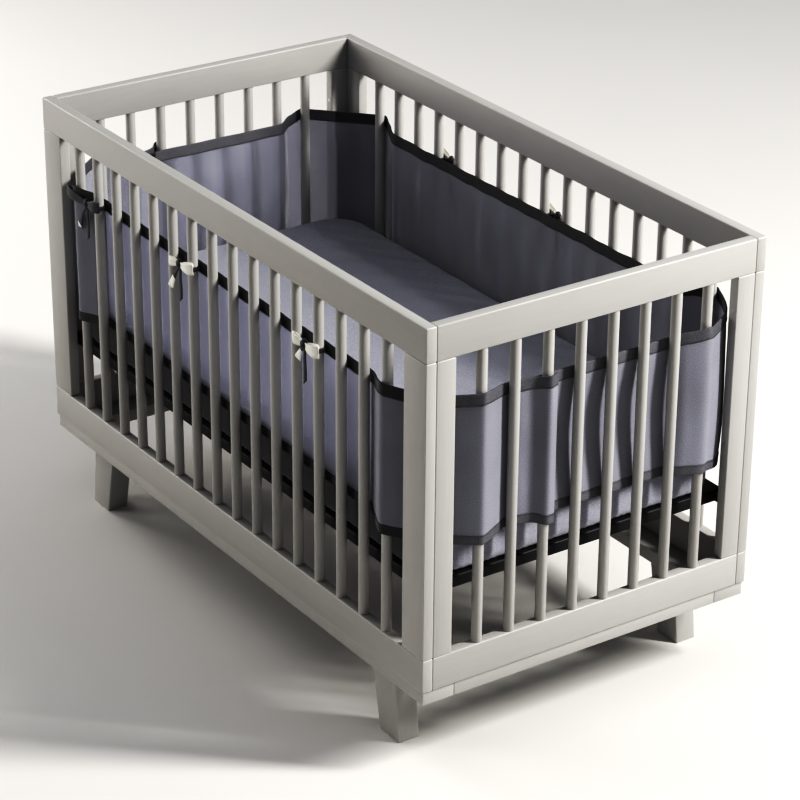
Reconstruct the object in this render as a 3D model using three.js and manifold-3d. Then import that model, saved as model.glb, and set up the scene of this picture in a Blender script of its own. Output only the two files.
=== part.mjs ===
// A slatted crib with a two-panel mesh liner woven through its spindles.
// Millimetres, +Z up. The origin is on the floor under the middle of the crib.
// +X is the crib's length towards the short end with the flap, and -Y is its front side.
import * as THREE from "three";
import Module from "manifold-3d";
import { mergeVertices } from "three/addons/utils/BufferGeometryUtils.js";

// Crib, outside sizes
const LENGTH = 1365;
const WIDTH = 744;
const HEIGHT = 876;
const BOARD = 22; // thickness of the rails and stiles
const RAIL = 66; // height of the top and bottom rails
const GAP = 0.3; // between pieces that meet
const EASE = 1.5; // eased edges of the boards

// Heights above the floor
const TOP_RAIL_Z = HEIGHT - RAIL;
const BOTTOM_RAIL_Z = 167;
const GRILLE_Z = BOTTOM_RAIL_Z + RAIL;
const BASE_Z = 140;
const SUPPORT = { bottom: 336, top: 360 };
const MATTRESS_TOP = 488;

// Spindles
const SPINDLE_R = 10;
const SPINDLE_SIDES = 12;
const SPINDLE_SINK = 6; // how deep a spindle stands in the bottom rail
const LONG_SIDE = { spindles: 16, pitch: 73.5, stile: 67.5 };
const SHORT_SIDE = { spindles: 8, pitch: 71, stile: 40 };

// Base strips and feet
const BASE = { inset: 3, width: 68 };
const FOOT = {
  inset: 23, // from the long side's outer face
  depth: 46,
  topInner: 485,
  topOuter: 560,
  bottomInner: 514,
  bottomOuter: 576,
};

// Mattress and its support
const MATTRESS = { length: 1288, width: 674, corner: 78, edge: 16, clear: GAP };
const SUPPORT_SIZE = { length: 1288, width: 676, tabStart: 314 };

// Liner cloth
const CLOTH = 2; // thickness of the mesh
const BINDING = { thickness: 3.4, height: 24, bottomHeight: 20 };
const WEAVE = SPINDLE_R + 4; // from a spindle's axis to the middle of the cloth
const TURN_ROOM = 1.5; // more of it where the cloth turns from inside to outside
const CLOTH_TOP = 716; // upper edge of the binding, inside the spindles
const CLOTH_BOTTOM = 438; // lower edge of the binding
const ROWS = 4; // steps in the cloth's height
const STEPS = 2; // steps between two points of the weave
const CORNER_TURN = 38; // degrees that the cloth follows a corner spindle's outside
const MERGE = 1e-4; // vertices closer than this are one

// Ribbon ties
const RIBBON = { ring: 10.35, ringOut: 12, height: 9, thickness: 2.4 };
const BOW = { offset: -28, front: 12.6, halfWidth: 6.5, halfHeight: 8.5, halfDepth: 5 };
// Outlines of a bow's flat pieces, sideways and upwards from the middle of its knot
const BOW_OUTLINES = {
  leftLoop: [[2, 3], [-30, 6], [-36, -4], [-28, -12], [2, -4]],
  rightLoop: [[-2, -4], [34, -14], [44, -2], [36, 12], [-2, 4]],
  shortEnd: [[-4, -2], [-30, -46], [-18, -60], [5, -4]],
  longEnd: [[-3, -3], [-8, -70], [6, -72], [5, -3]],
};

const wasm = await Module();
wasm.setup();

function solidOf(geometry) {
  const bare = new THREE.BufferGeometry();
  bare.setAttribute("position", geometry.getAttribute("position").clone());
  if (geometry.index) bare.setIndex(geometry.index.clone());
  const merged = mergeVertices(bare, MERGE);
  return new wasm.Manifold(
    new wasm.Mesh({
      numProp: 3,
      vertProperties: new Float32Array(merged.getAttribute("position").array),
      triVerts: new Uint32Array(merged.index.array),
    }),
  );
}

function geometryOf(solid) {
  const mesh = solid.getMesh();
  const geometry = new THREE.BufferGeometry();
  geometry.setAttribute("position", new THREE.BufferAttribute(new Float32Array(mesh.vertProperties), 3));
  geometry.setIndex(new THREE.BufferAttribute(new Uint32Array(mesh.triVerts), 1));
  geometry.computeVertexNormals();
  return geometry;
}

function union(geometries) {
  return geometryOf(geometries.map(solidOf).reduce((whole, next) => whole.add(next)));
}

function finish(color, roughness, metalness = 0) {
  return new THREE.MeshStandardMaterial({ color, roughness, metalness });
}

const painted = () => finish(0xaaa8a0, 0.45);
const mesh = () => finish(0x33343f, 0.85);
const satin = () => finish(0x111116, 0.4);
const ribbonFinish = () => finish(0x1b1a22, 0.5);
const steel = () => finish(0x141414, 0.5, 0.6);
const sheet = () => finish(0x3a3a48, 0.9);

const crib = new THREE.Group();

function place(name, geometry, material, x = 0, y = 0, z = 0) {
  const piece = new THREE.Mesh(geometry, material);
  piece.name = name;
  piece.position.set(x, y, z);
  crib.add(piece);
  return piece;
}

// A board with eased long edges. Its length runs along X, its thickness along Y and its height along Z.
function board(length, thickness, height) {
  const half = [thickness / 2, height / 2];
  const outline = new THREE.Shape();
  outline.moveTo(-half[0] + EASE, -half[1]);
  outline.lineTo(half[0] - EASE, -half[1]);
  outline.lineTo(half[0], -half[1] + EASE);
  outline.lineTo(half[0], half[1] - EASE);
  outline.lineTo(half[0] - EASE, half[1]);
  outline.lineTo(-half[0] + EASE, half[1]);
  outline.lineTo(-half[0], half[1] - EASE);
  outline.lineTo(-half[0], -half[1] + EASE);
  outline.closePath();
  const geometry = new THREE.ExtrudeGeometry(outline, { depth: length, bevelEnabled: false });
  geometry.translate(0, 0, -length / 2);
  geometry.rotateX(Math.PI / 2);
  geometry.rotateZ(Math.PI / 2);
  return geometry;
}

// An upright board: length along X, thickness along Y, with its eased edges along Z.
function stile(width, thickness, height) {
  const geometry = board(height, thickness, width);
  geometry.rotateY(Math.PI / 2);
  return geometry;
}

function spindlePlaces({ spindles, pitch }) {
  return Array.from({ length: spindles }, (_, i) => (i - (spindles - 1) / 2) * pitch);
}

// The bottom rail and the spindles that stand in it, made along X round the side's middle plane.
function grille(railLength, side) {
  const rail = board(railLength, BOARD, RAIL);
  rail.translate(0, 0, BOTTOM_RAIL_Z + RAIL / 2);
  const low = GRILLE_Z - SPINDLE_SINK;
  const high = TOP_RAIL_Z - GAP;
  const spindles = spindlePlaces(side).map((x) => {
    const spindle = new THREE.CylinderGeometry(SPINDLE_R, SPINDLE_R, high - low, SPINDLE_SIDES);
    spindle.rotateX(Math.PI / 2);
    spindle.translate(x, 0, (low + high) / 2);
    return spindle;
  });
  return union([rail, ...spindles]);
}

const stileHeight = TOP_RAIL_Z - GRILLE_Z - 2 * GAP;
const stileZ = (TOP_RAIL_Z + GRILLE_Z) / 2;
const longY = (WIDTH - BOARD) / 2; // middle plane of a long side
const shortX = (LENGTH - BOARD) / 2; // middle plane of a short end
const shortLength = WIDTH - 2 * BOARD - 2 * GAP;

function longSide(name, sign) {
  place(`${name}_top_rail`, board(LENGTH, BOARD, RAIL), painted(), 0, sign * longY, HEIGHT - RAIL / 2);
  place(`${name}_grille`, grille(LENGTH, LONG_SIDE), painted(), 0, sign * longY);
  for (const [end, x] of [["left", -1], ["right", 1]]) {
    const middle = (x * (LENGTH - LONG_SIDE.stile)) / 2;
    const post = stile(LONG_SIDE.stile, BOARD, stileHeight);
    place(`${name}_stile_${end}`, post, painted(), middle, sign * longY, stileZ);
  }
  const strip = board(LENGTH - 2 * BASE.inset, BASE.width, BOTTOM_RAIL_Z - BASE_Z - GAP);
  const stripY = sign * (WIDTH / 2 - BASE.inset - BASE.width / 2);
  place(`${name}_base`, strip, painted(), 0, stripY, (BASE_Z + BOTTOM_RAIL_Z - GAP) / 2);
}

function shortEnd(name, sign) {
  const turned = (geometry) => geometry.rotateZ(Math.PI / 2);
  const topRail = turned(board(shortLength, BOARD, RAIL));
  place(`${name}_top_rail`, topRail, painted(), sign * shortX, 0, HEIGHT - RAIL / 2);
  place(`${name}_grille`, turned(grille(shortLength, SHORT_SIDE)), painted(), sign * shortX, 0);
  for (const [end, y] of [["front", -1], ["back", 1]]) {
    const middle = (y * (shortLength - SHORT_SIDE.stile)) / 2;
    const post = turned(stile(SHORT_SIDE.stile, BOARD, stileHeight));
    place(`${name}_stile_${end}`, post, painted(), sign * shortX, middle, stileZ);
  }
  const stripLength = WIDTH - 2 * (BASE.inset + BASE.width + GAP);
  const strip = turned(board(stripLength, BASE.width, BOTTOM_RAIL_Z - BASE_Z - GAP));
  const stripX = sign * (LENGTH / 2 - BASE.inset - BASE.width / 2);
  place(`${name}_base`, strip, painted(), stripX, 0, (BASE_Z + BOTTOM_RAIL_Z - GAP) / 2);
}

// A splayed foot: its profile in X and Z, extruded across its depth.
function foot(name, signX, signY) {
  const top = BASE_Z - GAP;
  const profile = new THREE.Shape();
  profile.moveTo(FOOT.bottomInner, 0);
  profile.lineTo(FOOT.bottomOuter, 0);
  profile.lineTo(FOOT.topOuter, top);
  profile.lineTo(FOOT.topInner, top);
  profile.closePath();
  const geometry = new THREE.ExtrudeGeometry(profile, { depth: FOOT.depth, bevelEnabled: false });
  geometry.translate(0, 0, -FOOT.depth / 2);
  geometry.rotateX(Math.PI / 2);
  if (signX < 0) geometry.rotateZ(Math.PI);
  place(name, geometry, painted(), 0, signY * (WIDTH / 2 - FOOT.inset - FOOT.depth / 2), 0);
}

// The support: a flat panel whose four tabs reach the stiles of the short ends.
function support() {
  const x = SUPPORT_SIZE.length / 2;
  const y = SUPPORT_SIZE.width / 2;
  const reach = LENGTH / 2 - BOARD - GAP;
  const tab = SUPPORT_SIZE.tabStart;
  const outline = new THREE.Shape();
  outline.moveTo(-reach, -y);
  outline.lineTo(reach, -y);
  outline.lineTo(reach, -tab);
  outline.lineTo(x, -tab);
  outline.lineTo(x, tab);
  outline.lineTo(reach, tab);
  outline.lineTo(reach, y);
  outline.lineTo(-reach, y);
  outline.lineTo(-reach, tab);
  outline.lineTo(-x, tab);
  outline.lineTo(-x, -tab);
  outline.lineTo(-reach, -tab);
  outline.closePath();
  const depth = SUPPORT.top - SUPPORT.bottom;
  const geometry = new THREE.ExtrudeGeometry(outline, { depth, bevelEnabled: false });
  place("mattress_support", geometry, steel(), 0, 0, SUPPORT.bottom);
}

// The mattress: a rounded rectangle with rolled upper and lower edges.
function mattress() {
  const { length, width, corner, edge } = MATTRESS;
  const x = length / 2 - edge;
  const y = width / 2 - edge;
  const r = corner - edge;
  const outline = new THREE.Shape();
  outline.moveTo(-x + r, -y);
  outline.lineTo(x - r, -y);
  outline.absarc(x - r, -y + r, r, -Math.PI / 2, 0);
  outline.lineTo(x, y - r);
  outline.absarc(x - r, y - r, r, 0, Math.PI / 2);
  outline.lineTo(-x + r, y);
  outline.absarc(-x + r, y - r, r, Math.PI / 2, Math.PI);
  outline.lineTo(-x, -y + r);
  outline.absarc(-x + r, -y + r, r, Math.PI, Math.PI * 1.5);
  const bottom = SUPPORT.top + MATTRESS.clear;
  const geometry = new THREE.ExtrudeGeometry(outline, {
    depth: MATTRESS_TOP - bottom - 2 * edge,
    bevelThickness: edge,
    bevelSize: edge,
    bevelSegments: 2,
    curveSegments: 5,
  });
  place("mattress", geometry, sheet(), 0, 0, bottom + edge);
}

// The four sides as seen by the cloth: where a spindle stands, which way the cloth runs and which way is out.
const SIDES = {
  front: { at: (u) => [u, -longY], along: [1, 0], out: [0, -1] },
  right: { at: (u) => [shortX, u], along: [0, 1], out: [1, 0] },
  back: { at: (u) => [-u, longY], along: [-1, 0], out: [0, 1] },
  left: { at: (u) => [-shortX, -u], along: [0, -1], out: [-1, 0] },
};
const longPlaces = spindlePlaces(LONG_SIDE);
const shortPlaces = spindlePlaces(SHORT_SIDE);

// One point of the weave. n is its distance outwards from the spindle line, lift and drop move the upper and
// lower edges, slack is how far the middle sags inwards and peak is the height share where it sags most.
function knot(side, u, n, { lift = 0, drop = 0, slack = 0, peak = 0.5 } = {}) {
  const { at, out } = SIDES[side];
  const [x, y] = at(u);
  return { x: x + out[0] * n, y: y + out[1] * n, lift, drop, slack, peak };
}

// Between two spindles of a side the loose cloth sags a little, by an amount that varies from gap to gap.
function gapSlack(index) {
  return { slack: 3.2 + 1.6 * Math.sin(index * 2.3), peak: 0.5 + 0.14 * Math.sin(index * 1.7), lift: -1.5 };
}

const OUTSIDE = { lift: 13, drop: -4 };
const CROSSING = { lift: 8, drop: -2 };

// The run along a long side: outside its first and last spindles and inside all the others.
function longRun(side) {
  const last = longPlaces.length - 1;
  const points = [];
  longPlaces.forEach((u, i) => {
    const outer = i === 0 || i === last;
    const beside = i === 1 || i === last - 1;
    const inner = beside ? -WEAVE - TURN_ROOM : -WEAVE;
    points.push(outer ? knot(side, u, WEAVE, OUTSIDE) : knot(side, u, inner));
    if (i === last) return;
    const middle = u + LONG_SIDE.pitch / 2;
    const crossing = i === 0 || i === last - 1;
    points.push(crossing ? knot(side, middle, 0, CROSSING) : knot(side, middle, -WEAVE, gapSlack(i)));
  });
  return points;
}

// Round the corner from the last spindle of one side to the first of the next. The cloth leaves each spindle
// on an arc and bulges past the straight line, inside the post.
function corner(from, to, { bulge = 13, lift = 6, drop = 0, slack = 0, peak = 0.3 } = {}) {
  const ends = { front: longPlaces, back: longPlaces, left: shortPlaces, right: shortPlaces };
  const turn = THREE.MathUtils.degToRad(CORNER_TURN);
  const off = [WEAVE * Math.sin(turn), WEAVE * Math.cos(turn)];
  const leaving = knot(from, ends[from].at(-1) + off[0], off[1], { lift: 11, drop: -4 });
  const arriving = knot(to, ends[to][0] - off[0], off[1], { lift: 11, drop: -4 });
  const out = [SIDES[from].out[0] + SIDES[to].out[0], SIDES[from].out[1] + SIDES[to].out[1]];
  const share = bulge / Math.SQRT2;
  const middle = {
    x: (leaving.x + arriving.x) / 2 + out[0] * share,
    y: (leaving.y + arriving.y) / 2 + out[1] * share,
    lift,
    drop,
    slack,
    peak,
  };
  return [leaving, middle, arriving];
}

// Loose waves of the back panel on a short end, from the flap's spindle to the corner.
const END_WAVES = [
  { slack: 6, peak: 0.5 },
  { slack: 13, peak: 0.58 },
  { slack: 13, peak: 0.55 },
  { slack: 4, peak: 0.5 },
];
const FLAP = { spindle: 2, past: 14, under: 24, rise: 19, crease: 24.6, edge: 4 };
// Where the back panel comes out between the last two spindles of a short end
const WAY_OUT = { after: 32, out: 1.5 };

// The back panel's run on a short end: from behind the flap's spindle out to the corner spindle.
function endRun(side) {
  const last = shortPlaces.length - 1;
  const points = [knot(side, shortPlaces[FLAP.spindle] - FLAP.under, -WEAVE)];
  for (let i = FLAP.spindle; i <= last; i += 1) {
    points.push(i === last ? knot(side, shortPlaces[i], WEAVE, OUTSIDE) : knot(side, shortPlaces[i], -WEAVE));
    if (i === last) break;
    const wave = END_WAVES[i - FLAP.spindle];
    const wayOut = knot(side, shortPlaces[i] + WAY_OUT.after, WAY_OUT.out, CROSSING);
    points.push(i === last - 1 ? wayOut : knot(side, shortPlaces[i] + SHORT_SIDE.pitch / 2, -WEAVE, wave));
  }
  return points;
}

// The front panel's flap on a short end: outside the corner spindle, inside the next and outside the third.
function flapRun(side) {
  const [first, second, third] = shortPlaces;
  const half = SHORT_SIDE.pitch / 2;
  return [
    knot(side, first, WEAVE, OUTSIDE),
    knot(side, first + half, 0, { lift: 10, drop: -2 }),
    knot(side, second, -WEAVE, { lift: 4 }),
    knot(side, second + FLAP.rise, -10, { lift: 5, drop: -1 }),
    knot(side, third - FLAP.crease, -3, { lift: 6, drop: -2 }),
    knot(side, third - FLAP.edge, WEAVE + 1.5, { lift: 9, drop: -5 }),
    knot(side, third + FLAP.past, WEAVE - 2, { lift: 10, drop: -6 }),
  ];
}

// A run seen from the other end: the same distances, with the side's own direction turned round.
function mirrored(points, side) {
  const { along } = SIDES[side];
  return points
    .map((p) => ({ ...p, x: along[0] ? -p.x : p.x, y: along[1] ? -p.y : p.y }))
    .reverse();
}

const frontPanel = [
  ...mirrored(flapRun("left"), "left"),
  ...corner("left", "front"),
  ...longRun("front"),
  ...corner("front", "right", { bulge: 12, drop: -3 }),
  ...flapRun("right"),
];
const backPanel = [
  ...endRun("right"),
  ...corner("right", "back", { bulge: 18, lift: 10, drop: -26, slack: -5 }),
  ...longRun("back"),
  ...corner("back", "left"),
  ...mirrored(endRun("left"), "left"),
];

// Columns of a panel: places, outward directions and edge heights, a few for each stretch of the weave.
function columnsOf(points) {
  const curve = new THREE.CatmullRomCurve3(
    points.map((p) => new THREE.Vector3(p.x, p.y, 0)),
    false,
    "centripetal",
  );
  const count = (points.length - 1) * STEPS;
  return Array.from({ length: count + 1 }, (_, i) => {
    const spot = curve.getPoint(i / count);
    const tangent = curve.getTangent(i / count);
    const before = points[Math.floor(i / STEPS)];
    const after = points[Math.min(points.length - 1, Math.floor(i / STEPS) + 1)];
    const share = THREE.MathUtils.smoothstep((i % STEPS) / STEPS, 0, 1);
    const mix = (key) => THREE.MathUtils.lerp(before[key], after[key], share);
    return {
      x: spot.x,
      y: spot.y,
      out: [tangent.y, -tangent.x],
      top: CLOTH_TOP + mix("lift"),
      bottom: CLOTH_BOTTOM + mix("drop"),
      slack: mix("slack"),
      peak: mix("peak"),
    };
  });
}

// How far the cloth sags inwards at a height share t: nothing at its edges, most at the peak.
function sag({ slack, peak }, t) {
  const nearer = t < peak ? t / peak : (1 - t) / (1 - peak);
  return slack * Math.sin((nearer * Math.PI) / 2) ** 1.5;
}

// A strip bent along a panel's columns, between two heights.
function strip(columns, thickness, rows, low, high) {
  const count = columns.length - 1;
  const geometry = new THREE.BoxGeometry(count, 1, 1, count, 1, rows);
  const position = geometry.getAttribute("position");
  for (let i = 0; i < position.count; i += 1) {
    const column = columns[Math.round(position.getX(i) + count / 2)];
    const t = position.getZ(i) + 0.5;
    const z = THREE.MathUtils.lerp(low(column), high(column), t);
    const share = (z - column.bottom) / (column.top - column.bottom);
    const offset = -position.getY(i) * thickness - sag(column, share);
    position.setXYZ(i, column.x + column.out[0] * offset, column.y + column.out[1] * offset, z);
  }
  return geometry;
}

function liner(name, points) {
  const columns = columnsOf(points);
  const clothLow = (c) => c.bottom + BINDING.bottomHeight + GAP;
  const clothHigh = (c) => c.top - BINDING.height - GAP;
  place(`liner_${name}_panel`, strip(columns, CLOTH, ROWS, clothLow, clothHigh), mesh());
  const topLow = (c) => c.top - BINDING.height;
  place(`binding_${name}_top`, strip(columns, BINDING.thickness, 1, topLow, (c) => c.top), satin());
  const bottomHigh = (c) => c.bottom + BINDING.bottomHeight;
  place(`binding_${name}_bottom`, strip(columns, BINDING.thickness, 1, (c) => c.bottom, bottomHigh), satin());
}

// A flat ribbon piece: an outline in the plane of the side, beside a spindle and at a distance outwards.
function ribbonPiece(outline, offset, front) {
  const shape = new THREE.Shape(outline.map(([u, v]) => new THREE.Vector2(offset + u, v)));
  const geometry = new THREE.ExtrudeGeometry(shape, { depth: RIBBON.thickness, bevelEnabled: false });
  geometry.translate(0, 0, front);
  return geometry;
}

// A ribbon round one spindle, knotted in the gap beside it, with two loops and two free ends.
// It is made with u along the side, v up and w outwards from the spindle's axis.
function tie(name, side, spindle) {
  const { offset, front } = BOW;
  const ring = new THREE.LatheGeometry(
    [
      new THREE.Vector2(RIBBON.ring, -RIBBON.height / 2),
      new THREE.Vector2(RIBBON.ringOut, -RIBBON.height / 2),
      new THREE.Vector2(RIBBON.ringOut, RIBBON.height / 2),
      new THREE.Vector2(RIBBON.ring, RIBBON.height / 2),
      new THREE.Vector2(RIBBON.ring, -RIBBON.height / 2),
    ],
    16,
  );
  const seat = RIBBON.ringOut - RIBBON.thickness / 4;
  const rise = front - seat;
  const bridge = new THREE.BoxGeometry(Math.hypot(offset, rise), RIBBON.height, RIBBON.thickness);
  bridge.rotateY(Math.atan2(rise, -offset));
  bridge.translate(offset / 2, 0, (seat + front) / 2);
  const bow = new THREE.SphereGeometry(1, 8, 6);
  bow.scale(BOW.halfWidth, BOW.halfHeight, BOW.halfDepth);
  bow.translate(offset, 0, front);
  const flat = Object.values(BOW_OUTLINES).map((outline) => ribbonPiece(outline, offset, front));
  const geometry = union([ring, bridge, bow, ...flat]);
  const { at, along, out } = SIDES[side];
  const [x, y] = at(longPlaces[spindle]);
  const frame = new THREE.Matrix4().makeBasis(
    new THREE.Vector3(along[0], along[1], 0),
    new THREE.Vector3(0, 0, 1),
    new THREE.Vector3(out[0], out[1], 0),
  );
  geometry.applyMatrix4(frame);
  place(name, geometry, ribbonFinish(), x, y, CLOTH_TOP - BINDING.height / 2);
}

longSide("front", -1);
longSide("back", 1);
shortEnd("left", -1);
shortEnd("right", 1);
for (const [endName, signX] of [["left", -1], ["right", 1]]) {
  foot(`foot_${endName}_front`, signX, -1);
  foot(`foot_${endName}_back`, signX, 1);
}
support();
mattress();
liner("front", frontPanel);
liner("back", backPanel);
tie("tie_front_left", "front", 1);
tie("tie_front_mid", "front", 6);
tie("tie_front_right", "front", 12);
tie("tie_back_right", "back", 2);
tie("tie_back_mid", "back", 7);
tie("tie_back_left", "back", 12);

export default crib;
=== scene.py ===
import math
from collections import namedtuple

import bmesh
import bpy
from mathutils import Matrix, Vector, noise


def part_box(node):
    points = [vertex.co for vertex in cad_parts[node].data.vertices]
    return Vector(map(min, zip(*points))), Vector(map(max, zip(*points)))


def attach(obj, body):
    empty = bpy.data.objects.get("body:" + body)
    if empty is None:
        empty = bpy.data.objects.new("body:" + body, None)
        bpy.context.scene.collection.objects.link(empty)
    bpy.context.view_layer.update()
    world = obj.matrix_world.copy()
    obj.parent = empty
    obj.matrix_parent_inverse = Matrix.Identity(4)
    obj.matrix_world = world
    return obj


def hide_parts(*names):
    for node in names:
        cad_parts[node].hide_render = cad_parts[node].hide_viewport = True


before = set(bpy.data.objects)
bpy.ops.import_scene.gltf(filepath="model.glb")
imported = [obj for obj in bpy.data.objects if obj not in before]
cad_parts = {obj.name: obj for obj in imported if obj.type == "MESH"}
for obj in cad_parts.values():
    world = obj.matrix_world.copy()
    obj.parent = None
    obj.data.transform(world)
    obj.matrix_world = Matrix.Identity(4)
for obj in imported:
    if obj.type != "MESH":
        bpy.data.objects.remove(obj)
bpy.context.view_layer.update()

MM = 0.001
LEVEL = 0.01 * MM

# Sizes read off the frame
grille_low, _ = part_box("front_grille")
rail_low, rail_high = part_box("front_top_rail")
end_low, end_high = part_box("right_grille")
RAIL = rail_high.z - rail_low.z
TOP_RAIL_Z = rail_low.z
GRILLE_Z = grille_low.z + RAIL
LONG_Y = -(rail_low.y + rail_high.y) / 2
SHORT_X = (end_low.x + end_high.x) / 2

# Spindles
SPINDLE_R = 10 * MM
SPINDLE_SIDES = 28
LONG_SIDE = {"spindles": 16, "pitch": 73.5 * MM}
SHORT_SIDE = {"spindles": 8, "pitch": 71 * MM}

# Liner
CLOTH = 1.5 * MM
BINDING = {"thickness": 3.0 * MM, "height": 24 * MM, "bottom_height": 20 * MM}
WEAVE = SPINDLE_R + 4 * MM
TURN_ROOM = 1.5 * MM
CLOTH_TOP = 716 * MM
CLOTH_BOTTOM = 438 * MM
COLUMN_STEP = 4 * MM
SPAN_STEPS = 24
CLOTH_ROWS = 44


# Node helpers
def new_material(name):
    material = bpy.data.materials.new(name)
    material.use_nodes = True
    tree = material.node_tree
    return material, tree, tree.nodes["Principled BSDF"]


def add(tree, kind, **settings):
    node = tree.nodes.new(kind)
    for key, value in settings.items():
        setattr(node, key, value)
    return node


def coordinates(tree, kind):
    return add(tree, "ShaderNodeTexCoord").outputs[kind]


def attribute(tree, name):
    return add(tree, "ShaderNodeAttribute", attribute_name=name).outputs["Fac"]


def new_group(name, inputs, outputs):
    """A node group with named float or colour sockets. inputs maps a name to its default."""
    group = bpy.data.node_groups.new(name, "ShaderNodeTree")
    for label, value in inputs.items():
        kind = {float: "NodeSocketFloat", tuple: "NodeSocketColor"}.get(type(value), "NodeSocketVector")
        socket = group.interface.new_socket(name=label, in_out="INPUT", socket_type=kind)
        if value is not None:
            socket.default_value = value
    for label, kind in outputs.items():
        group.interface.new_socket(name=label, in_out="OUTPUT", socket_type=kind)
    enter = group.nodes.new("NodeGroupInput")
    leave = group.nodes.new("NodeGroupOutput")
    return group, enter, leave


def place_group(tree, group, **values):
    node = add(tree, "ShaderNodeGroup", node_tree=group)
    for label, value in values.items():
        node.inputs[label.replace("_", " ")].default_value = value
    return node


def math_node(tree, operation, first, second=None, third=None, clamp=False):
    node = add(tree, "ShaderNodeMath", operation=operation, use_clamp=clamp)
    for socket, value in zip(node.inputs, (first, second, third)):
        if value is None:
            continue
        if isinstance(value, (int, float)):
            socket.default_value = value
        else:
            tree.links.new(value, socket)
    return node.outputs[0]


def between(tree, value, low, high):
    """A value from 0 to 1, moved to run from low to high."""
    return math_node(tree, "MULTIPLY_ADD", value, high - low, low)


def mix_colour(tree, share, first, second):
    node = add(tree, "ShaderNodeMix", data_type="RGBA")
    for socket, value in ((node.inputs[0], share), (node.inputs[6], first), (node.inputs[7], second)):
        if isinstance(value, (int, float)):
            socket.default_value = value
        elif isinstance(value, tuple):
            socket.default_value = (*value, 1.0)
        else:
            tree.links.new(value, socket)
    return node.outputs[2]


def bump(tree, height, shader, strength, distance):
    node = add(tree, "ShaderNodeBump")
    node.inputs["Strength"].default_value = strength
    node.inputs["Distance"].default_value = distance
    tree.links.new(height, node.inputs["Height"])
    tree.links.new(node.outputs["Normal"], shader.inputs["Normal"])
    return node


# Groups shared by the materials
def mottle_group():
    """Slow, faint changes of tone, as on any painted or dyed surface."""
    group, enter, leave = new_group(
        "mottle",
        {"Vector": None, "Scale": 6.0, "Depth": 0.1},
        {"Value": "NodeSocketFloat"},
    )
    clouds = add(group, "ShaderNodeTexNoise")
    clouds.inputs["Detail"].default_value = 4.0
    group.links.new(enter.outputs["Vector"], clouds.inputs["Vector"])
    group.links.new(enter.outputs["Scale"], clouds.inputs["Scale"])
    centred = math_node(group, "SUBTRACT", clouds.outputs["Fac"], 0.5)
    scaled = math_node(group, "MULTIPLY_ADD", centred, enter.outputs["Depth"], 1.0)
    group.links.new(scaled, leave.inputs["Value"])
    return group


def threads_group():
    """Crossing threads: a height from 0 to 1 and a mask of the gaps between them."""
    group, enter, leave = new_group(
        "threads",
        {"Vector": None, "Across": 800.0, "Along": 800.0},
        {"Height": "NodeSocketFloat", "Gaps": "NodeSocketFloat"},
    )
    parts = add(group, "ShaderNodeSeparateXYZ")
    group.links.new(enter.outputs["Vector"], parts.inputs[0])
    waves = []
    for axis, count in (("X", "Across"), ("Y", "Along")):
        turn = math_node(group, "MULTIPLY", parts.outputs[axis], enter.outputs[count])
        angle = math_node(group, "MULTIPLY", turn, 2 * math.pi)
        wave = math_node(group, "SINE", angle)
        waves.append(math_node(group, "MULTIPLY_ADD", wave, 0.5, 0.5))
    height = math_node(group, "MAXIMUM", *waves)
    gaps = math_node(group, "MULTIPLY", *[math_node(group, "SUBTRACT", 1.0, wave) for wave in waves])
    group.links.new(height, leave.inputs["Height"])
    group.links.new(gaps, leave.inputs["Gaps"])
    return group


MOTTLE = mottle_group()
THREADS = threads_group()


def mottled(tree, place, scale, depth):
    node = place_group(tree, MOTTLE, Scale=scale, Depth=depth)
    tree.links.new(place, node.inputs["Vector"])
    return node.outputs["Value"]


def threaded(tree, place, across, along):
    node = place_group(tree, THREADS, Across=across, Along=along)
    tree.links.new(place, node.inputs["Vector"])
    return node


def fine_noise(tree, place, scale, detail=2.0):
    node = add(tree, "ShaderNodeTexNoise")
    node.inputs["Scale"].default_value = scale
    node.inputs["Detail"].default_value = detail
    tree.links.new(place, node.inputs["Vector"])
    return node.outputs["Fac"]


def shine_across(tree, shader, anisotropy):
    """Highlights that run across the cloth's length, from its shiny cross threads."""
    shader.inputs["Specular IOR Level"].default_value = 0.6
    shader.inputs["Anisotropic"].default_value = anisotropy
    shader.inputs["Anisotropic Rotation"].default_value = 0.25
    cross_threads = add(tree, "ShaderNodeTangent", direction_type="UV_MAP", uv_map="UVMap")
    tree.links.new(cross_threads.outputs[0], shader.inputs["Tangent"])


def times(tree, colour, value):
    """A colour made darker or lighter by a value around 1."""
    node = add(tree, "ShaderNodeVectorMath", operation="SCALE")
    if isinstance(colour, tuple):
        node.inputs[0].default_value = colour
    else:
        tree.links.new(colour, node.inputs[0])
    tree.links.new(value, node.inputs["Scale"])
    return node.outputs[0]


# Materials
PAINT = (0.435, 0.428, 0.412)
# Paler paint for the rounded edges: partly rubbed wear, partly a painted highlight
PAINT_WORN_HIGHLIT_EDGE = (0.54, 0.532, 0.51)
MESH_FACE = (0.262, 0.264, 0.302)
MESH_GLOW = (0.70, 0.70, 0.80)
SATIN = (0.022, 0.022, 0.026)
# Painted sheen: the paler tape colour on the short ends, where it catches the light
SATIN_PAINTED_SHEEN = (0.14, 0.14, 0.155)
SHEET = (0.375, 0.378, 0.430)
# Painted shade: the darker sheet colour on the mattress's front side
SHEET_PAINTED_SHADE = (0.040, 0.040, 0.048)
RIBBON = (0.022, 0.021, 0.030)
CREAM = (0.80, 0.79, 0.73)
STEEL = (0.010, 0.010, 0.011)
STRAND = (0.060, 0.060, 0.075)
PLATING = (0.62, 0.62, 0.60)

# How far the edges turn paler, for wear and as a painted highlight
WORN_HIGHLIT_SHARE = 0.5
ALONG_GRAIN = 0.06
GRAIN_SCALE = 160.0
HOLE_EDGE = 0.22


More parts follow.
